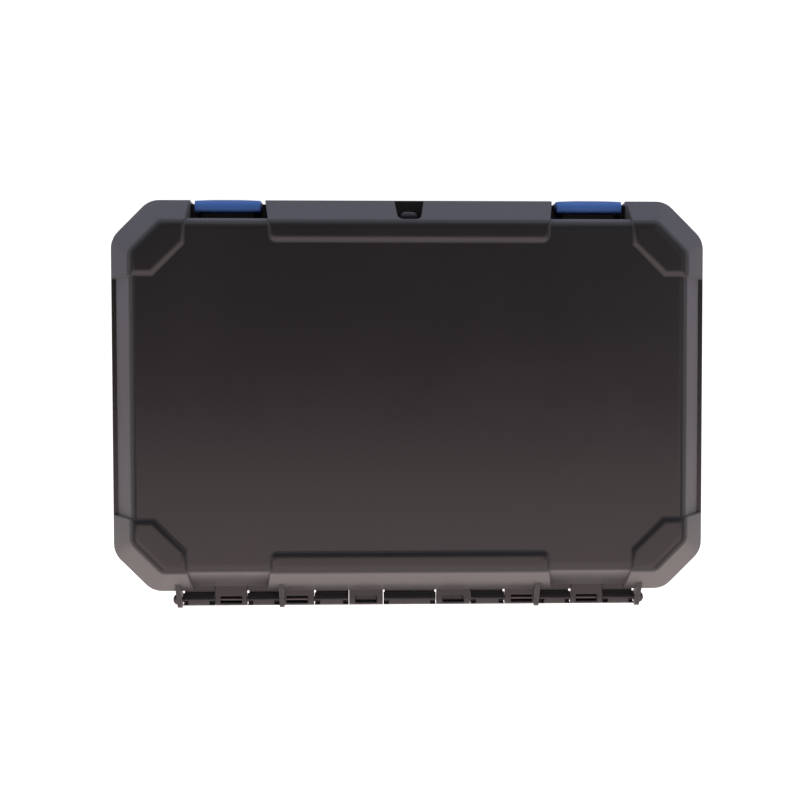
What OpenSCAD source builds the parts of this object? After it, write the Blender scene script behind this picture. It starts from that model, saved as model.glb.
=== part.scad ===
// Hard carrying case for a rotary tool kit: moulded base and lid, pinned back
// hinge, two front latches, folding handle and a bay insert.
// Rest pose: closed, lying on its base. +Z up, front (latches) at -Y.

/* [Case] */
// Width over the corner armour
case_w = 366; // [300:1:420]
// Depth of the body without the hinge
case_d = 241; // [200:1:300]
// Height of the base above the floor
base_h = 76; // [66:1:100]
// Height of the lid above the parting plane
lid_h = 36; // [34:1:60]
// Moulded wall
wall_t = 2.5; // [1.5:0.1:4]
// Gap between the closed halves
parting_gap = 0.3; // [0.2:0.1:0.6]

/* [Outline] */
// Length cut off each corner
corner_leg = 23.6; // [15:0.1:35]
// Rounding where the cut corner meets the sides
corner_r = 14; // [5:0.5:20]
// Straight wall next to the parting plane, on the lid
rim_h = 7; // [5:0.5:10]
// Height of the sloped side
slope_h = 29; // [20:1:29]
// How far the slope leans in
slope_in = 14.8; // [10:0.1:18]
// Rounding between slope and flat face
face_r = 6.5; // [4:0.5:8]
// Rounding between rim wall and slope
edge_r = 4; // [1:0.5:6]
// Thickness of the parting flange of each half
flange_t = 2.5; // [1.5:0.1:4]
// How far the flange stands out past the armour
flange_out = 0.5; // [0.2:0.1:0.8]
// How much each cut corner shortens per mm towards the face
leg_taper = 0.36; // [0.2:0.02:0.58]
// How much the corner rounding tightens per mm towards the face
round_taper = 0.5; // [0.3:0.05:0.6]

/* [Armour] */
// Height of the armour above the panels
armour_t = 1.5; // [1:0.1:3]
// How far the armour stands out at the rim
armour_out = 2.8; // [1:0.1:4]
// Run of the rounded step between armour and panel
step_run = 4.2; // [2:0.1:5]
// Inner line of the corner armour, from the middle
corner_x = 134.8; // [125:0.1:140]
// Front and back line of the corner armour, from the middle
corner_y = 73.2; // [60:0.1:90]
// Diagonal cut of the corner armour
corner_cut = 19.3; // [5:0.1:24]
// Half width of the middle bands
band_x = 84.8; // [78:0.1:88]
// Inner edge of the middle bands, from the middle
band_y = 93.4; // [85:0.1:98]
// How far the corner armour widens down the side
flare = 0.4; // [0:0.1:3]
// How far the middle bands widen down the side
band_flare = 3.6; // [1:0.1:5]
// Corner rounding of the bands
band_r = 5; // [2:0.5:10]

/* [Latches] */
// Depth of the latch recess below the outline
latch_recess = 12.5; // [10:0.1:16]
// Latch width
latch_w = 40; // [25:0.5:44]
// Latch plate thickness
latch_t = 5; // [3:0.1:6]
// Thickness of the latch end
latch_end_t = 7.6; // [6:0.1:8]
// How far the middle of the latch face stands out
latch_crown = 0.7; // [0.3:0.1:1]
// How far the latch face stands out past the armour
latch_out = 0.4; // [0:0.1:0.5]
// Height of the thick latch end
latch_end_h = 5.5; // [4:0.1:7]
// Latch end above the parting plane
latch_top = 10; // [8:0.5:14]
// Latch pivot below the parting plane
latch_drop = 28; // [20:1:34]
// Latch barrel radius
latch_r = 4; // [3:0.1:5]
// Latch pin diameter
latch_pin_d = 3; // [2:0.1:4]
// Length of a latch pin held in each block of the base
ear_t = 2.8; // [2:0.1:3.5]
// Blocks beside a latch, behind the armour outline
ear_in = 1.7; // [1:0.1:3]

/* [Hinge] */
// Hinge axis behind the armour outline
hinge_out = 6.2; // [6:0.1:9]
// Knuckle radius
knuckle_r = 4; // [3.5:0.1:4.8]
// Radius of the thin hinge ribs
rib_r = 5.3; // [4.5:0.1:5.8]
// Thickness of the thin hinge ribs
rib_t = 2.8; // [2:0.1:4]
// How high the ribs run up the slope
rib_rise = 17; // [10:0.5:20]
// Width of the middle knuckle
knuckle_mid = 33; // [20:0.5:40]
// Inner knuckle width
knuckle_inner = 21.5; // [15:0.1:24]
// Outer knuckle width
knuckle_outer = 20.1; // [15:0.1:24]
// Hinge pin diameter
hinge_pin_d = 3.2; // [2.5:0.1:4]
// Hinge pin head diameter
hinge_head_d = 6.6; // [5:0.1:8]
// Window that bares the pin in a lid knuckle, length
window_l = 13.5; // [8:0.5:15]
// Window width
window_w = 4.6; // [3.6:0.1:5]
// Floor under a window
window_floor = 1; // [0.6:0.1:2]
// Side play of the knuckles
knuckle_gap = 0.2; // [0.15:0.05:0.3]
// Thickness of the arms of the base knuckles
arm_t = 1.8; // [1.4:0.1:3]
// Base arm behind the outer end of its knuckle
arm_back = 0.6; // [0.4:0.1:1.2]
// Length of the nicks at the ends of a base knuckle
nick_l = 3.4; // [2:0.1:4]
// Width of the nicks
nick_w = 2.4; // [1.5:0.1:2.6]
// Near edge of the nicks behind the hinge axis
nick_y = 0.5; // [0.2:0.1:1]

/* [Padlock eye] */
// Notch width at the outline
notch_w = 18.3; // [14:0.1:24]
// Notch width at its back
notch_back_w = 15; // [13:0.1:18]
// Notch depth
notch_d = 13.1; // [8:0.1:16]
// Corner rounding of the notch
notch_r = 3.5; // [2:0.1:5]
// Eye length along the flange
eye_l = 9.7; // [8:0.1:12]
// Eye width
eye_w = 4.8; // [4.6:0.1:6]
// Land between the eye and the back of the notch
eye_land = 2.3; // [1.5:0.1:3]

/* [Handle] */
// Handle length between its outer faces
handle_l = 127; // [100:1:140]
// Handle thickness
handle_t = 10; // [8:0.5:12]
// Grip height
grip_h = 15; // [12:0.5:20]
// Width of each arm
arm_w = 12; // [8:0.5:16]
// Pivot below the parting plane
handle_drop = 17; // [15:0.5:22]
// Pivot to the far edge of the grip
handle_reach = 42; // [36:0.5:46]
// Handle pin diameter
handle_pin_d = 4; // [3:0.1:6]
// Handle face behind the armour outline
handle_in = 2; // [1.5:0.5:3]
// Room for the fingers behind the handle
finger_room = 4.5; // [3:0.5:6]

/* [Insert] */
// Insert wall
tray_wall = 1.6; // [1:0.1:3]
// Rounding of the bays
bay_r = 9; // [4:0.5:14]
// Long bay length
bay_l = 208; // [160:1:220]
// Accessory bin length
bin_l = 82; // [60:1:90]
// Front bay width
bay_front_w = 66; // [50:1:80]
// Web between bays
bay_gap = 9; // [6:0.5:14]
// Depth of the long bays
bay_depth = 62; // [40:1:64]
// Room behind the bays
bay_back = 26; // [20:0.5:40]
// Depth of the accessory bins
bin_depth = 46; // [20:1:60]

/* [Fits] */
// Radial play of a pin in a turning bore
run_fit = 0.05; // [0.02:0.01:0.1]
// Side play between moving pieces
side_gap = 0.4; // [0.3:0.1:0.8]
// Gap between a closed latch and the catch rail
catch_gap = 0.3; // [0.3:0.05:0.6]
// Play around the closing lip and the insert
lip_gap = 0.4; // [0.3:0.1:0.8]

/* [Hidden] */
$fn = 48;
slice = 0.01;
crown_fn = 720;
arc_steps = 5;
far = 400;
half_w = case_w / 2;
half_d = case_d / 2;
face_steps = 8;
rim_in = 0.2;
armour_flat = rim_in + slope_in;
panel_flat = armour_flat + 0.6;
cavity_step = wall_t * 0.72;
hinge_y = half_d + hinge_out;
// the hinge stands out behind only, so the body is moved to centre the whole
shift_y = -(hinge_out + rib_r - flange_out) / 2;
e0 = knuckle_mid / 2;
e1 = e0 + knuckle_inner;
e2 = e1 + knuckle_inner;
e3 = e2 + knuckle_inner;
e4 = e3 + knuckle_outer;
e5 = e4 + knuckle_outer;
e6 = e5 + knuckle_outer;
// where a rib meets the slope at its top
rib_top_y = half_d - rim_in - (rib_rise - rim_h) * slope_in / slope_h;
// how far into the innermost base knuckle a hinge pin starts
pin_past = 1.5;
pin_in = e1 + pin_past;
pin_out = e6 + side_gap + rib_t;
head_t = 2.6;
// latch and its pivot: towards the corner armour, behind the face, above the pocket's floor
latch_shift = 0.5;
latch_pivot_in = 6.9;
latch_below = 8;
latch_x = (band_x + band_flare / 2 + corner_x) / 2 + latch_shift;
latch_y = -half_d - latch_out + latch_pivot_in;
latch_pocket = latch_drop + latch_below;
recess_y = -half_d + latch_recess;
recess_flare = band_flare * (1 - latch_recess / slope_in);
crown_r = latch_w * latch_w / 8 / latch_crown;
// roundings of the latch's end, of its face above and of its face below
latch_tip_r = 1.8;
latch_top_r = 4.8;
latch_foot_r = 4;
// catch rail, shorter than the latch at each end
catch_short = 4;
catch_h = 3.2;
catch_z = latch_top - latch_end_h - catch_gap - catch_h;
catch_out = latch_recess + latch_out - latch_end_t - catch_gap;
handle_y = -half_d + handle_in + handle_t / 2;
handle_half = handle_l / 2;
grip_pocket_x = handle_half + side_gap;
grip_pocket_d = handle_in + handle_t + finger_room;
// handle pocket above the pivot and below the grip
grip_above = 7;
grip_below = 5;
grip_pocket_top = handle_drop - grip_above;
grip_pocket_low = handle_drop + handle_reach + grip_below;
// bosses beside the pocket, and how far the handle pins go into them
boss_l = 6;
pin_hold = 4;
lip_t = 1.6;
lip_h = 3;
tray_top = 4;
tray_plate = 2;
bay_x0 = -(bay_l + bay_gap + bin_l) / 2;
bay_x1 = bay_x0 + bay_l;
bin_x0 = bay_x1 + bay_gap;
// room between the handle pocket's wall and the bays
bay_front = 4;
bay_y0 = -half_d + grip_pocket_d + wall_t + bay_front;
bay_y1 = bay_y0 + bay_front_w;
bay_y2 = bay_y1 + bay_gap;
bay_y3 = half_d - bay_back;
bin_w = (bay_y3 - bay_y0 - 2 * bay_gap) / 3;

shell_grey = [0.23, 0.22, 0.23];
latch_blue = [0.2, 0.36, 0.66];
steel = [0.72, 0.73, 0.75];
tray_grey = [0.12, 0.12, 0.13];

// ---- outlines ----

// points of an arc of radius r round c from angle a0 to a1
function arc(c, r, a0, a1, n) =
    [for (i = [0:n]) c + r * [cos(a0 + (a1 - a0) * i / n), sin(a0 + (a1 - a0) * i / n)]];

// one corner of the outline in the first quadrant, moved in by inset
function corner_arcs(inset) =
    let (r = max(corner_r - inset * round_taper, 1),
         w = half_w - inset,
         d = half_d - inset,
         leg = corner_leg - inset * leg_taper,
         back = r * tan(22.5))
    concat(arc([w - r, d - leg - back], r, 0, 45, arc_steps),
           arc([w - leg - back, d - r], r, 45, 90, arc_steps));

function flip_x(pts) = [for (i = [len(pts) - 1:-1:0]) [-pts[i].x, pts[i].y]];
function flip_y(pts) = [for (i = [len(pts) - 1:-1:0]) [pts[i].x, -pts[i].y]];

function outline(inset) =
    let (q1 = corner_arcs(inset), top = concat(q1, flip_x(q1)))
    concat(top, flip_y(top));

function round_rect(x0, x1, y0, y1, r) =
    concat(arc([x1 - r, y1 - r], r, 0, 90, arc_steps),
           arc([x0 + r, y1 - r], r, 90, 180, arc_steps),
           arc([x0 + r, y0 + r], r, 180, 270, arc_steps),
           arc([x1 - r, y0 + r], r, 270, 360, arc_steps));

// side profile as [height, inset]: rim wall, slope, rounded into the flat face
function side_profile(h, in0, in1, in2, slope, er, fr) =
    let (z1 = h - slope,
         lean = atan2(slope, in2 - in1),
         turn = 90 - lean,
         et = er * tan(turn / 2),
         ft = fr * tan(lean / 2))
    concat([[0, in0]],
           [for (i = [0:2]) let (a = turn * i / 2)
               [z1 - et + er * sin(a), in1 + er * (1 - cos(a))]],
           [for (i = [0:face_steps]) let (a = lean * (1 - i / face_steps))
               [h - fr + fr * cos(a), in2 + ft - fr * sin(a)]]);

module loft(profile) {
    hull()
        for (p = profile)
            translate([0, 0, p[0] - (p[0] > 0 ? slice : 0)])
                linear_extrude(slice)
                    polygon(outline(p[1]));
}

module armour_body(h)
    loft(side_profile(h, 0, rim_in, armour_flat, slope_h, edge_r, face_r));

module panel_body(h)
    loft(side_profile(h - armour_t, armour_out, armour_out + rim_in, panel_flat,
                      slope_h - armour_t / 2, edge_r / 2, face_r));

module cavity_body(h)
    loft(side_profile(h - armour_t - wall_t, armour_out + wall_t,
                      armour_out + wall_t + rim_in, panel_flat + cavity_step,
                      slope_h - armour_t / 2 - wall_t / 2, edge_r / 2, face_r - wall_t));

// the armour's zones: four corners and two middle bands
module armour_zones(h)
    for (sy = [0, 1])
        mirror([0, sy, 0]) {
            band_zone(h);
            for (sx = [0, 1])
                mirror([sx, 0, 0])
                    corner_zone(h);
        }

// rounds the step along a line through p, armour on the side that turn points to
module step_wedge(p, turn, h)
    translate([p.x, p.y, h - armour_t])
        rotate([90, 0, turn])
            translate([0, 0, -far / 2])
                linear_extrude(far)
                    polygon(concat([for (i = [0:arc_steps]) let (t = i / arc_steps)
                                       [step_run * pow(t, 1.5), armour_t * (1 - pow(1 - t, 2))]],
                                   [[step_run, 2 * armour_t], [-1, 2 * armour_t], [-1, 0]]));

module corner_zone(h)
    difference() {
        linear_extrude(h + 1)
            polygon([[corner_x, far],
                     [corner_x, corner_y + corner_cut],
                     [corner_x + corner_cut, corner_y],
                     [half_w - slope_in, corner_y],
                     [half_w, corner_y - flare],
                     [far, corner_y - flare],
                     [far, far]]);
        step_wedge([corner_x, corner_y + corner_cut], 0, h);
        step_wedge([corner_x, corner_y + corner_cut], 45, h);
        step_wedge([corner_x + corner_cut, corner_y], 90, h);
    }

module band_zone(h)
    difference() {
        linear_extrude(h + 1) {
            polygon(round_rect(-band_x, band_x, band_y, far, band_r));
            polygon([[-band_x, half_d - slope_in], [band_x, half_d - slope_in],
                     [band_x + band_flare, half_d], [band_x + band_flare, far],
                     [-band_x - band_flare, far], [-band_x - band_flare, half_d]]);
        }
        step_wedge([0, band_y], 90, h);
        step_wedge([-band_x, 0], 0, h);
        step_wedge([band_x, 0], 180, h);
    }

// plan of a latch recess, grown by wall
module latch_recess_plan(wall)
    for (sx = [0, 1])
        mirror([sx, 0, 0])
            polygon([[band_x + band_flare - wall, -far],
                     [band_x + band_flare - wall, -half_d],
                     [band_x + recess_flare - wall, recess_y + wall],
                     [corner_x + wall, recess_y + wall],
                     [corner_x + wall, -far]]);

// where the base is cut for the latches: deep behind each latch, shallow beside it
module latch_cut_plan() {
    intersection() {
        latch_recess_plan(0);
        translate([-far, -far])
            square([2 * far, far - half_d + ear_in]);
    }
    for (s = [-1, 1])
        translate([s * latch_x - latch_w / 2 - side_gap, -far])
            square([latch_w + 2 * side_gap, far + recess_y]);
}

module notch_plan(wall)
    let (cx = notch_back_w / 2 - notch_r, cy = -half_d + notch_d - notch_r)
    polygon(concat([[-notch_w / 2 - wall, -half_d - 1]],
                   arc([-cx, cy], notch_r + wall, 180, 90, arc_steps),
                   arc([cx, cy], notch_r + wall, 90, 0, arc_steps),
                   [[notch_w / 2 + wall, -half_d - 1]]));

// inside edge of the walls at the parting plane
module inner_plan(gap)
    difference() {
        polygon(outline(armour_out + wall_t + gap));
        latch_recess_plan(wall_t + gap);
        notch_plan(wall_t + gap);
    }

module eye_cut(z0, z1)
    translate([0, 0, z0])
        linear_extrude(z1 - z0)
            polygon(round_rect(-eye_l / 2, eye_l / 2, -half_d + notch_d - eye_land - eye_w,
                               -half_d + notch_d - eye_land, eye_w / 2 - 0.1));

// one half of the case from its parting plane up, before hinge and fittings
module half_solid(h) {
    panel_body(h);
    intersection() {
        armour_body(h);
        armour_zones(h);
    }
    linear_extrude(flange_t)
        polygon(outline(-flange_out));
}

// ---- hinge ----

module along_x(x0, x1)
    translate([x0, 0, 0])
        rotate([90, 0, 90])
            linear_extrude(x1 - x0)
                children();

module barrel(x0, x1)
    translate([x0, hinge_y, 0])
        rotate([0, 90, 0])
            cylinder(h = x1 - x0, r = knuckle_r);

// arm from the wall to the barrel
module arm(x0, x1, z0, z1)
    translate([x0, half_d - armour_out - 1, z0])
        cube([x1 - x0, hinge_out + armour_out + 1, z1 - z0]);

module lid_knuckle(x0, x1) {
    barrel(x0, x1);
    arm(x0, x1, parting_gap, knuckle_r);
}

// base knuckle with a nick at each end, from x0 to its outer end x1
module base_knuckle(x0, x1)
    difference() {
        union() {
            barrel(x0, x1);
            arm(x0, x1 - arm_back, -knuckle_r, arm_t - knuckle_r);
        }
        for (x = [x0 - 1, x1 - nick_l])
            translate([x, hinge_y + nick_y, -knuckle_r / 2])
                cube([nick_l + 1, nick_w, 2 * knuckle_r]);
    }

module hinge_rib(x0)
    along_x(x0, x0 + rib_t) {
        translate([hinge_y, 0])
            circle(r = rib_r);
        polygon([[rib_top_y - wall_t / 2, parting_gap], [rib_top_y - wall_t / 2, rib_rise],
                 [rib_top_y + 0.1, rib_rise],
                 [hinge_y + rib_r * cos(50), rib_r * sin(50)],
                 [hinge_y, 0]]);
    }

module pin_bore(r, x0, x1)
    translate([x0, hinge_y, 0])
        rotate([0, 90, 0])
            cylinder(h = x1 - x0, r = r);

module window(x0, x1)
    translate([(x0 + x1 - window_l) / 2, hinge_y - window_w / 2, window_floor - knuckle_r])
        cube([window_l, window_w, 2 * knuckle_r]);

module lid_hinge_side() {
    difference() {
        union() {
            lid_knuckle(e0 + knuckle_gap, e1 - knuckle_gap);
            lid_knuckle(e2 + knuckle_gap, e3 - rib_t);
            lid_knuckle(e4 + knuckle_gap, e5 - knuckle_gap);
            hinge_rib(e3 - rib_t);
            hinge_rib(e6 + side_gap);
        }
        pin_bore(hinge_pin_d / 2 + run_fit, pin_in - 1, pin_out + 1);
        window(e0, e1);
        window(e2, e3);
        window(e4, e5);
    }
}

module base_hinge_side()
    difference() {
        union() {
            base_knuckle(e1 + knuckle_gap, e2 - knuckle_gap);
            base_knuckle(e3 + knuckle_gap, e4 - knuckle_gap);
            base_knuckle(e5 + knuckle_gap, e6 - knuckle_gap);
        }
        pin_bore(hinge_pin_d / 2, pin_in, pin_out + 1);
    }

// the middle knuckle is alike at both ends
module middle_knuckle()
    intersection() {
        base_knuckle(-e0 + knuckle_gap, e0 - knuckle_gap);
        mirror([1, 0, 0])
            base_knuckle(-e0 + knuckle_gap, e0 - knuckle_gap);
    }

// ---- fittings ----

module catch_rail()
    translate([latch_x - latch_w / 2 + catch_short, recess_y - catch_out, catch_z])
        cube([latch_w - 2 * catch_short, catch_out + wall_t / 2, catch_h]);

module latch_bore(r, past)
    translate([latch_x - latch_w / 2 - past, latch_y, -latch_drop])
        rotate([0, 90, 0])
            cylinder(h = latch_w + 2 * past, r = r);

module handle_bore(r, x0, x1)
    translate([x0, handle_y, -handle_drop])
        rotate([0, 90, 0])
            cylinder(h = x1 - x0, r = r);

module case_frame()
    translate([0, shift_y, base_h])
        children();

// ---- sub-parts ----

module lid_shell()
    color(shell_grey) case_frame() {
        difference() {
            translate([0, 0, parting_gap])
                half_solid(lid_h - parting_gap);
            translate([0, 0, -1])
                linear_extrude(lid_h + 2)
                    latch_recess_plan(0);
            translate([0, 0, flange_t + parting_gap])
                linear_extrude(lid_h)
                    notch_plan(0);
            difference() {
                translate([0, 0, parting_gap - 0.1])
                    cavity_body(lid_h - parting_gap + 0.1);
                translate([0, 0, -1])
                    linear_extrude(lid_h + 2) {
                        latch_recess_plan(wall_t);
                        notch_plan(wall_t);
                    }
            }
            eye_cut(-1, lid_h);
        }
        // lip that closes inside the base walls
        translate([0, 0, -lip_h])
            linear_extrude(lip_h + parting_gap + 1)
                difference() {
                    inner_plan(lip_gap);
                    inner_plan(lip_gap + lip_t);
                }
        translate([0, 0, parting_gap])
            linear_extrude(flange_t)
                difference() {
                    inner_plan(-0.2);
                    inner_plan(lip_gap + lip_t);
                }
        for (sx = [0, 1])
            mirror([sx, 0, 0]) {
                lid_hinge_side();
                catch_rail();
            }
    }

module base_shell()
    color(shell_grey) case_frame() {
        difference() {
            mirror([0, 0, 1])
                half_solid(base_h);
            translate([0, 0, -latch_pocket])
                linear_extrude(latch_pocket + 1)
                    latch_cut_plan();
            base_pocket(0);
            translate([0, 0, -grip_pocket_top - 1])
                linear_extrude(grip_pocket_top + 1 - flange_t)
                    notch_plan(0);
            difference() {
                mirror([0, 0, 1])
                    translate([0, 0, -0.1])
                        cavity_body(base_h + 0.1);
                translate([0, 0, -latch_pocket - wall_t])
                    linear_extrude(latch_pocket + wall_t + 1)
                        latch_recess_plan(wall_t);
                base_pocket(wall_t);
                translate([0, 0, -grip_pocket_top - wall_t])
                    linear_extrude(grip_pocket_top + wall_t + 1)
                        notch_plan(wall_t);
                for (sx = [0, 1])
                    mirror([sx, 0, 0])
                        handle_bore(handle_pin_d / 2 + wall_t, grip_pocket_x, grip_pocket_x + boss_l);
            }
            eye_cut(-flange_t - 1, 1);
            for (sx = [0, 1])
                mirror([sx, 0, 0]) {
                    handle_bore(handle_pin_d / 2, grip_pocket_x - 1, grip_pocket_x + pin_hold);
                    latch_bore(latch_pin_d / 2, side_gap + ear_t);
                }
        }
        middle_knuckle();
        for (sx = [0, 1])
            mirror([sx, 0, 0])
                base_hinge_side();
    }

// hollow in the front wall that holds the folded handle
module base_pocket(wall)
    translate([-grip_pocket_x - wall, -half_d - 1, -grip_pocket_low - wall])
        cube([2 * (grip_pocket_x + wall), grip_pocket_d + 1 + wall,
              grip_pocket_low - grip_pocket_top + 2 * wall]);

module hinge_pin()
    color(steel) case_frame()
        translate([0, hinge_y, 0])
            rotate([0, 90, 0]) {
                translate([0, 0, pin_in])
                    cylinder(h = pin_out + side_gap - pin_in + 0.1, d = hinge_pin_d);
                translate([0, 0, pin_out + side_gap])
                    rotate_extrude()
                        polygon(concat([[0, 0]],
                                       [for (i = [0:6]) [hinge_head_d / 2 * cos(15 * i),
                                                         head_t * sin(15 * i)]]));
            }

module hinge_pin_left() mirror([1, 0, 0]) hinge_pin();
module hinge_pin_right() hinge_pin();

// latch plate: barrel at the base, thick end over the catch
module latch()
    color(latch_blue) case_frame()
        difference() {
            along_x(latch_x - latch_w / 2, latch_x + latch_w / 2) {
                translate([latch_y, -latch_drop])
                    circle(r = latch_r);
                let (y0 = -half_d - latch_out, y1 = y0 + latch_t, y2 = y0 + latch_end_t)
                    polygon(concat([[latch_y, -latch_drop - latch_r * 0.9],
                                    [latch_y, -latch_drop],
                                    [y1 + 0.8, -latch_drop + latch_r],
                                    [y1, -latch_drop + latch_r + 2],
                                    [y1, latch_top - latch_end_h - latch_end_t + latch_t],
                                    [y2, latch_top - latch_end_h]],
                                   arc([y2 - latch_tip_r, latch_top - latch_tip_r],
                                       latch_tip_r, 0, 90, arc_steps),
                                   arc([y0 + latch_top_r, latch_top - latch_top_r],
                                       latch_top_r, 90, 180, face_steps),
                                   [[y0, -latch_drop + 1]],
                                   arc([y0 + latch_foot_r, -latch_drop], latch_foot_r, 180, 240,
                                       arc_steps)));
            }
            latch_bore(latch_pin_d / 2 + run_fit, 1);
            // crowned front face
            translate([latch_x, -half_d - latch_out + crown_r, -latch_pocket])
                difference() {
                    translate([-latch_w, -crown_r - 1, 0])
                        cube([2 * latch_w, crown_r, 2 * latch_pocket]);
                    translate([0, 0, -1])
                        cylinder(h = 2 * latch_pocket + 2, r = crown_r, $fn = crown_fn);
                }
        }

module latch_left() mirror([1, 0, 0]) latch();
module latch_right() latch();

module latch_pin()
    color(steel) case_frame()
        latch_bore(latch_pin_d / 2, side_gap + ear_t);

module latch_pin_left() mirror([1, 0, 0]) latch_pin();
module latch_pin_right() latch_pin();

// U-shaped bail that hangs in the front wall
module handle()
    color(shell_grey) case_frame()
        difference() {
            union() {
                for (s = [-1, 1])
                    along_x(s * (handle_half - arm_w / 2) - arm_w / 2,
                            s * (handle_half - arm_w / 2) + arm_w / 2)
                        polygon(round_rect(handle_y - handle_t / 2, handle_y + handle_t / 2,
                                           -handle_drop - handle_reach,
                                           -handle_drop + handle_t / 2, handle_t / 2 - 0.1));
                along_x(-handle_half + arm_w / 2, handle_half - arm_w / 2)
                    polygon(round_rect(handle_y - handle_t / 2, handle_y + handle_t / 2,
                                       -handle_drop - handle_reach,
                                       -handle_drop - handle_reach + grip_h,
                                       handle_t / 2 - 0.1));
            }
            for (s = [0, 1])
                mirror([s, 0, 0])
                    handle_bore(handle_pin_d / 2 + run_fit, handle_half - arm_w - 1,
                                handle_half + 1);
        }

module handle_pin()
    color(steel) case_frame()
        handle_bore(handle_pin_d / 2, handle_half - arm_w + 1, grip_pocket_x + pin_hold);

module handle_pin_left() mirror([1, 0, 0]) handle_pin();
module handle_pin_right() handle_pin();

module bay(x0, x1, y0, y1, depth, grow)
    translate([0, 0, -tray_top - depth - grow])
        linear_extrude(depth + grow + (grow > 0 ? 0 : 1))
            polygon(round_rect(x0 - grow, x1 + grow, y0 - grow, y1 + grow, bay_r + grow));

module bays(grow) {
    bay(bay_x0, bay_x1, bay_y0, bay_y1, bay_depth, grow);
    bay(bay_x0, bay_x1, bay_y2, bay_y3, bay_depth, grow);
    for (i = [0:2])
        bay(bin_x0, bin_x0 + bin_l, bay_y0 + i * (bin_w + bay_gap),
            bay_y0 + i * (bin_w + bay_gap) + bin_w, bin_depth, grow);
}

module insert_tray()
    color(tray_grey) case_frame()
        difference() {
            union() {
                translate([0, 0, -tray_top - tray_plate])
                    linear_extrude(tray_plate)
                        inner_plan(lip_gap + 0.6);
                bays(tray_wall);
            }
            bays(0);
        }

base_shell();
lid_shell();
hinge_pin_left();
hinge_pin_right();
latch_left();
latch_right();
latch_pin_left();
latch_pin_right();
handle();
handle_pin_left();
handle_pin_right();
insert_tray();
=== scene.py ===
"""Looks of a hard carrying case: its materials, the shading of its solids, the studio and the camera."""
from math import pi, radians

import bpy
from mathutils import Matrix, Vector

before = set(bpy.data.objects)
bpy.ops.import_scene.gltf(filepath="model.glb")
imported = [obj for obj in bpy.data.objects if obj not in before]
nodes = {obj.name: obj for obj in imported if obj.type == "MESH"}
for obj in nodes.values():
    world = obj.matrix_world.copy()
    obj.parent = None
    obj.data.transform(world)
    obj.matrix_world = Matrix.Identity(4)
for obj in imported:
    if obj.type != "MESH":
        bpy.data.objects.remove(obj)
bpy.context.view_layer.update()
scene = bpy.context.scene


def node(tree, kind, **inputs):
    """A new node, with an underscore in a socket's name standing for a space."""
    made = tree.nodes.new(kind)
    for key, value in inputs.items():
        made.inputs[key.replace("_", " ")].default_value = value
    return made


def fill_ramp(ramp, stops, low=0.0, high=1.0):
    """Sets a new colour ramp's stops, given in order, whose places lie between low and high."""
    ends = [stops[0], stops[-1]]
    for i, (place, colour) in enumerate(ends + stops[1:-1]):
        at = (place - low) / (high - low)
        stop = ramp.elements[i] if i < len(ends) else ramp.elements.new(at)
        stop.position = at
        stop.color = (*colour, 1)


# ---------- materials ----------

# slow drift of colour and gloss over a surface: its scale, and the stretch of the noise that it uses
DRIFT_SCALE = 14.0
DRIFT_LOW, DRIFT_HIGH = 0.3, 0.7
# height of the moulded grain, in metres
GRAIN_HEIGHT = 0.0002
HAZE_ROUGHNESS = 0.5


def srgb(*levels):
    """Linear colour of three display levels from 0 to 255."""
    def lin(v):
        v /= 255.0
        return v / 12.92 if v <= 0.04045 else ((v + 0.055) / 1.055) ** 2.4
    return tuple(lin(level) for level in levels)


def moulded(name, dark, light, rough, spread, grain, bump, edge_mm, metal=0.0, ior=1.5, haze=0.0):
    """A procedural finish between two colours, with drifting gloss, a fine grain and softened edges.
    The haze is what a satin surface shows of itself at a shallow angle."""
    mat = bpy.data.materials.new(name)
    mat.use_nodes = True
    tree = mat.node_tree
    link = tree.links.new
    bsdf = tree.nodes["Principled BSDF"]
    bsdf.inputs["Metallic"].default_value = metal
    bsdf.inputs["IOR"].default_value = ior
    bsdf.inputs["Sheen Weight"].default_value = haze
    bsdf.inputs["Sheen Roughness"].default_value = HAZE_ROUGHNESS

    coord = tree.nodes.new("ShaderNodeTexCoord")
    drift = node(tree, "ShaderNodeTexNoise", Scale=DRIFT_SCALE, Detail=3.0, Roughness=0.55)
    fine = node(tree, "ShaderNodeTexNoise", Scale=grain, Detail=2.0, Roughness=0.5)
    for noise in (drift, fine):
        link(coord.outputs["Object"], noise.inputs["Vector"])

    tint = tree.nodes.new("ShaderNodeValToRGB")
    tint.color_ramp.interpolation = "EASE"
    fill_ramp(tint.color_ramp, [(DRIFT_LOW, dark), (DRIFT_HIGH, light)])
    link(drift.outputs["Fac"], tint.inputs["Fac"])
    link(tint.outputs["Color"], bsdf.inputs["Base Color"])

    gloss = node(tree, "ShaderNodeMapRange", From_Min=DRIFT_LOW, From_Max=DRIFT_HIGH,
                 To_Min=rough - spread, To_Max=rough + spread)
    gloss.interpolation_type = "SMOOTHSTEP"
    link(drift.outputs["Fac"], gloss.inputs["Value"])
    link(gloss.outputs["Result"], bsdf.inputs["Roughness"])

    soft_edge = node(tree, "ShaderNodeBevel", Radius=edge_mm / 1000)
    height = node(tree, "ShaderNodeBump", Strength=bump, Distance=GRAIN_HEIGHT)
    link(fine.outputs["Fac"], height.inputs["Height"])
    link(soft_edge.outputs["Normal"], height.inputs["Normal"])
    link(height.outputs["Normal"], bsdf.inputs["Normal"])
    return mat


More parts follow.
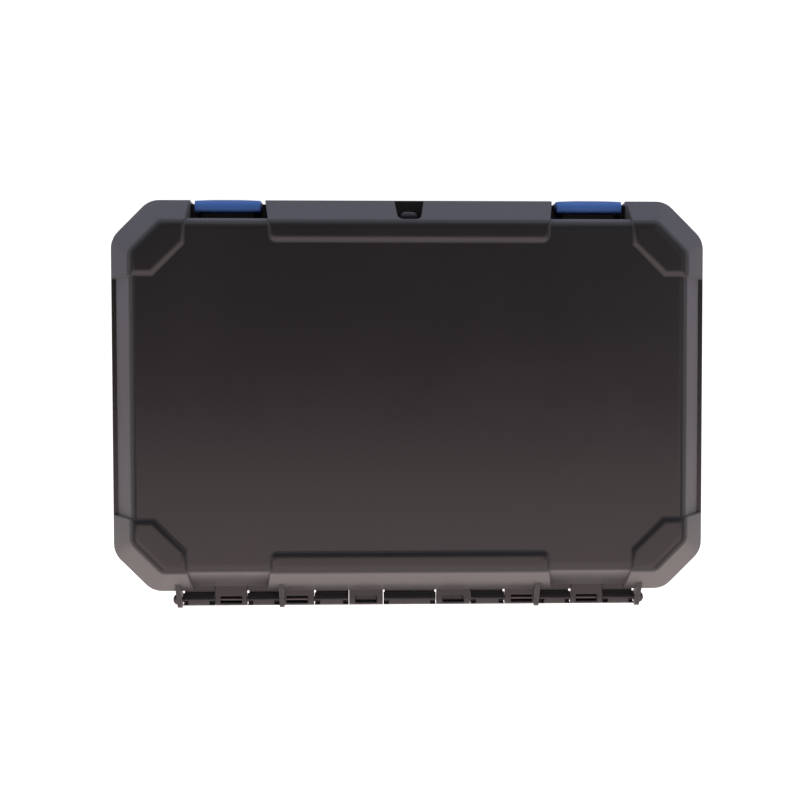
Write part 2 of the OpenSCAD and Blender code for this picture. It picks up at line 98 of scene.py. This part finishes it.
SHELL = moulded("shell", dark=srgb(31, 30, 33), light=srgb(33, 32, 35), rough=0.235, spread=0.01,
                grain=2600.0, bump=0.05, edge_mm=1.2, ior=1.54, haze=0.4)
LATCH = moulded("latch", dark=srgb(92, 146, 238), light=srgb(96, 150, 242), rough=0.3, spread=0.015,
                grain=2200.0, bump=0.06, edge_mm=0.6)
STEEL = moulded("pin", dark=srgb(95, 90, 90), light=srgb(105, 100, 100), rough=0.4, spread=0.04,
                grain=1800.0, bump=0.05, edge_mm=0.15, metal=1.0)
INSERT = moulded("insert", dark=srgb(38, 38, 40), light=srgb(42, 42, 44), rough=0.5, spread=0.02,
                 grain=2000.0, bump=0.12, edge_mm=0.4)


# ---------- shading of the solids ----------

# facets of rounded faces meet at up to 18 degrees, true edges at 21 or more
CREASE_ANGLE = 20.5
# corners of triangles closer than this, in metres, are one point
WELD_GAP = 2e-6
# triangles within this angle, in degrees, are one flat face
FLAT_ANGLE = 0.1
# how far large faces outweigh small ones in the normals that they share, from 1 to 100
AREA_WEIGHT = 90


def crease_group():
    """A modifier's node group that shades every edge sharper than CREASE_ANGLE as a crease."""
    group = bpy.data.node_groups.new("creases", "GeometryNodeTree")
    for way in ("INPUT", "OUTPUT"):
        group.interface.new_socket("Geometry", in_out=way, socket_type="NodeSocketGeometry")
    mesh_in = group.nodes.new("NodeGroupInput")
    mesh_out = group.nodes.new("NodeGroupOutput")
    angle = group.nodes.new("GeometryNodeInputMeshEdgeAngle")
    sharper = group.nodes.new("FunctionNodeCompare")
    sharper.data_type = "FLOAT"
    sharper.operation = "GREATER_THAN"
    sharper.inputs["B"].default_value = radians(CREASE_ANGLE)
    crease = group.nodes.new("GeometryNodeSetShadeSmooth")
    crease.domain = "EDGE"
    crease.inputs["Shade Smooth"].default_value = False
    group.links.new(angle.outputs["Unsigned Angle"], sharper.inputs["A"])
    group.links.new(mesh_in.outputs["Geometry"], crease.inputs["Geometry"])
    group.links.new(sharper.outputs["Result"], crease.inputs["Selection"])
    group.links.new(crease.outputs["Geometry"], mesh_out.inputs["Geometry"])
    return group


CREASES = crease_group()


def dress(name, mat):
    """Even shading of a CAD node: its triangles joined into whole faces, creased only at its true edges."""
    obj = nodes[name]
    mesh = obj.data
    mesh.materials.clear()
    mesh.materials.append(mat)
    weld = obj.modifiers.new("weld", "WELD")
    weld.merge_threshold = WELD_GAP
    flat = obj.modifiers.new("flat", "DECIMATE")
    flat.decimate_type = "DISSOLVE"
    flat.angle_limit = radians(FLAT_ANGLE)
    creases = obj.modifiers.new("creases", "NODES")
    creases.node_group = CREASES
    even = obj.modifiers.new("even", "WEIGHTED_NORMAL")
    even.mode = "FACE_AREA"
    even.weight = AREA_WEIGHT
    even.keep_sharp = True
    for poly in mesh.polygons:
        poly.use_smooth = True


for name in ("lid_shell", "base_shell", "handle"):
    dress(name, SHELL)
dress("insert_tray", INSERT)
for side in ("left", "right"):
    dress("latch_" + side, LATCH)
    for pin in ("hinge_pin_", "latch_pin_", "handle_pin_"):
        dress(pin + side, STEEL)


# ---------- surroundings ----------

FLOOR_SIZE = 14
# the floor lies just under the case
FLOOR_DROP = 0.0005
FLOOR_GREY = 0.8
# what the floor gives off towards the camera, besides the lamp light that it returns
FLOOR_LIFT = 0.9
# painted reflection: mirrors see the floor as this painted glow, dark on the latch side and paler towards
# the warm hinge side, in place of lamp light falling on it: place along Y, from the latch side to the hinge
# side, and colour
FLOOR_PAINTED_REFLECTION = [
    (-0.25, (0.32, 0.36, 0.5)),
    (-0.09, (0.16, 0.17, 0.24)),
    (0.0, (0.16, 0.16, 0.2)),
    (0.06, (0.26, 0.25, 0.28)),
    (0.1, (0.48, 0.44, 0.44)),
    (0.2, (1.0, 0.86, 0.82)),
]
# light of the surroundings by the sine of the elevation, towards the hinge side and towards the latch side
SKY_HINGE = [
    (0.0, (1.0, 0.9, 0.87)),
    (0.3, (0.85, 0.76, 0.73)),
    (0.65, (0.4, 0.34, 0.33)),
    (1.0, (0.1, 0.09, 0.09)),
]
SKY_LATCH = [
    (0.0, (0.85, 0.92, 1.0)),
    (0.2, (0.5, 0.55, 0.62)),
    (0.65, (0.11, 0.12, 0.14)),
    (1.0, (0.03, 0.03, 0.03)),
]
# the two skies blend over this stretch of the view direction's Y, to both sides of 0
SKY_BLEND = 0.7
WHITE = (1, 1, 1, 1)


def pale_floor():
    """A pale floor that is white to the camera and keeps the shadow of the case. Mirrors see it as a
    painted glow, paler towards the warm hinge side, in place of lamp light falling on the floor."""
    bpy.ops.mesh.primitive_plane_add(size=FLOOR_SIZE, location=(0, 0, -FLOOR_DROP))
    floor = bpy.context.object
    floor.name = "floor"
    mat = bpy.data.materials.new("floor")
    mat.use_nodes = True
    tree = mat.node_tree
    link = tree.links.new
    bsdf = tree.nodes["Principled BSDF"]
    bsdf.inputs["Base Color"].default_value = (FLOOR_GREY, FLOOR_GREY, FLOOR_GREY, 1)
    bsdf.inputs["Roughness"].default_value = 0.8

    low, high = FLOOR_PAINTED_REFLECTION[0][0], FLOOR_PAINTED_REFLECTION[-1][0]
    coord = tree.nodes.new("ShaderNodeTexCoord")
    split = tree.nodes.new("ShaderNodeSeparateXYZ")
    along = node(tree, "ShaderNodeMapRange", From_Min=low, From_Max=high)
    tint = tree.nodes.new("ShaderNodeValToRGB")
    tint.color_ramp.interpolation = "EASE"
    fill_ramp(tint.color_ramp, FLOOR_PAINTED_REFLECTION, low, high)
    link(coord.outputs["Object"], split.inputs["Vector"])
    link(split.outputs["Y"], along.inputs["Value"])
    link(along.outputs["Result"], tint.inputs["Fac"])

    to_camera = node(tree, "ShaderNodeEmission", Color=WHITE, Strength=FLOOR_LIFT)
    lifted = tree.nodes.new("ShaderNodeAddShader")
    link(bsdf.outputs["BSDF"], lifted.inputs[0])
    link(to_camera.outputs["Emission"], lifted.inputs[1])
    # painted reflection: glossy and transmission rays see the floor glowing in the graded colour above
    # rather than lit by the lamps
    painted_reflection_glow = node(tree, "ShaderNodeEmission", Strength=1.0)
    link(tint.outputs["Color"], painted_reflection_glow.inputs["Color"])

    path = tree.nodes.new("ShaderNodeLightPath")
    shader = bsdf.outputs["BSDF"]
    for ray, seen in (("Is Glossy Ray", painted_reflection_glow.outputs["Emission"]),
                      ("Is Transmission Ray", painted_reflection_glow.outputs["Emission"]),
                      ("Is Camera Ray", lifted.outputs["Shader"])):
        choice = tree.nodes.new("ShaderNodeMixShader")
        link(path.outputs[ray], choice.inputs["Fac"])
        link(shader, choice.inputs[1])
        link(seen, choice.inputs[2])
        shader = choice.outputs["Shader"]
    link(shader, tree.nodes["Material Output"].inputs["Surface"])
    floor.data.materials.append(mat)


def studio_sky():
    """Soft light all round, palest near the floor and towards the hinge side. The camera sees it white."""
    world = bpy.data.worlds.new("studio")
    scene.world = world
    world.use_nodes = True
    tree = world.node_tree
    link = tree.links.new
    tree.nodes.clear()
    coord = tree.nodes.new("ShaderNodeTexCoord")
    split = tree.nodes.new("ShaderNodeSeparateXYZ")
    link(coord.outputs["Generated"], split.inputs["Vector"])
    towards_hinge = node(tree, "ShaderNodeMapRange", From_Min=-SKY_BLEND, From_Max=SKY_BLEND)
    towards_hinge.interpolation_type = "SMOOTHSTEP"
    link(split.outputs["Y"], towards_hinge.inputs["Value"])
    blend = tree.nodes.new("ShaderNodeMixRGB")
    link(towards_hinge.outputs["Result"], blend.inputs["Fac"])
    for stops, socket in ((SKY_LATCH, 1), (SKY_HINGE, 2)):
        ramp = tree.nodes.new("ShaderNodeValToRGB")
        fill_ramp(ramp.color_ramp, stops)
        link(split.outputs["Z"], ramp.inputs["Fac"])
        link(ramp.outputs["Color"], blend.inputs[socket])

    soft = node(tree, "ShaderNodeBackground", Strength=1.0)
    link(blend.outputs["Color"], soft.inputs["Color"])
    white = node(tree, "ShaderNodeBackground", Color=WHITE, Strength=1.0)
    path = tree.nodes.new("ShaderNodeLightPath")
    choice = tree.nodes.new("ShaderNodeMixShader")
    link(path.outputs["Is Camera Ray"], choice.inputs["Fac"])
    link(soft.outputs["Background"], choice.inputs[1])
    link(white.outputs["Background"], choice.inputs[2])
    out = tree.nodes.new("ShaderNodeOutputWorld")
    link(choice.outputs["Shader"], out.inputs["Surface"])


def aim(obj, place, target, up):
    """Puts obj at place, looking at target, with up towards the top of its view."""
    back = (Vector(place) - Vector(target)).normalized()
    right = Vector(up).cross(back).normalized()
    top = back.cross(right)
    turn = Matrix((right, top, back)).transposed().to_4x4()
    obj.matrix_world = Matrix.Translation(place) @ turn


def panel(name, place, size, radiance, colour, target=None):
    """A soft light panel of that size and radiance, facing down unless it has a target."""
    lamp = bpy.data.lights.new(name, "AREA")
    lamp.shape = "RECTANGLE"
    lamp.size, lamp.size_y = size
    lamp.energy = radiance * pi * size[0] * size[1]
    lamp.color = colour
    obj = bpy.data.objects.new(name, lamp)
    scene.collection.objects.link(obj)
    if target:
        aim(obj, place, target, up=(0, 0, 1))
    else:
        aim(obj, place, (place[0], place[1], 0), up=(0, 1, 0))


pale_floor()
studio_sky()
panel("hinge_top", place=(0.0, 0.82, 1.7), size=(2.6, 1.4), radiance=1.35, colour=(1.0, 0.8, 0.8))
panel("hinge_high", place=(0.0, 2.1, 1.5), size=(2.4, 1.0), radiance=1.0, colour=(1.0, 0.84, 0.8),
      target=(0, 0, 0.08))
panel("right_top", place=(-1.0, -0.3, 1.7), size=(1.0, 1.4), radiance=0.25, colour=(0.95, 0.97, 1.0))


# ---------- camera ----------

# place in the row frame and small turns about its own axes
CAM_PLACE = Vector((0.01764, -0.02753, 1.15936))
CAM_TURN = (0.0513, -0.0418, -0.0027)
# focal length and shift in pixels of the frame
FRAME_PX = 800
FOCAL_PX = 1734.5
SHIFT_PX = (53.55, 49.82)
SENSOR_MM = 36
CLIP_END = 50


def overhead_camera():
    """A camera over the lid, with the front of the case at the top of the frame."""
    cam = bpy.data.cameras.new("camera")
    cam.sensor_width = SENSOR_MM
    cam.lens = FOCAL_PX * SENSOR_MM / FRAME_PX
    cam.shift_x = -SHIFT_PX[0] / FRAME_PX
    cam.shift_y = SHIFT_PX[1] / FRAME_PX
    cam.clip_end = CLIP_END
    obj = bpy.data.objects.new("camera", cam)
    scene.collection.objects.link(obj)
    # rows are the frame's right, down and forward; unturned, it looks straight down
    view = Matrix(((-1, 0, 0), (0, 1, 0), (0, 0, -1)))
    for axis, turn in zip("XYZ", CAM_TURN):
        view = Matrix.Rotation(turn, 3, axis) @ view
    axes = Matrix((view[0], -view[1], -view[2])).transposed()
    obj.matrix_world = Matrix.Translation(CAM_PLACE) @ axes.to_4x4()
    scene.camera = obj


overhead_camera()
scene.view_settings.view_transform = "Standard"
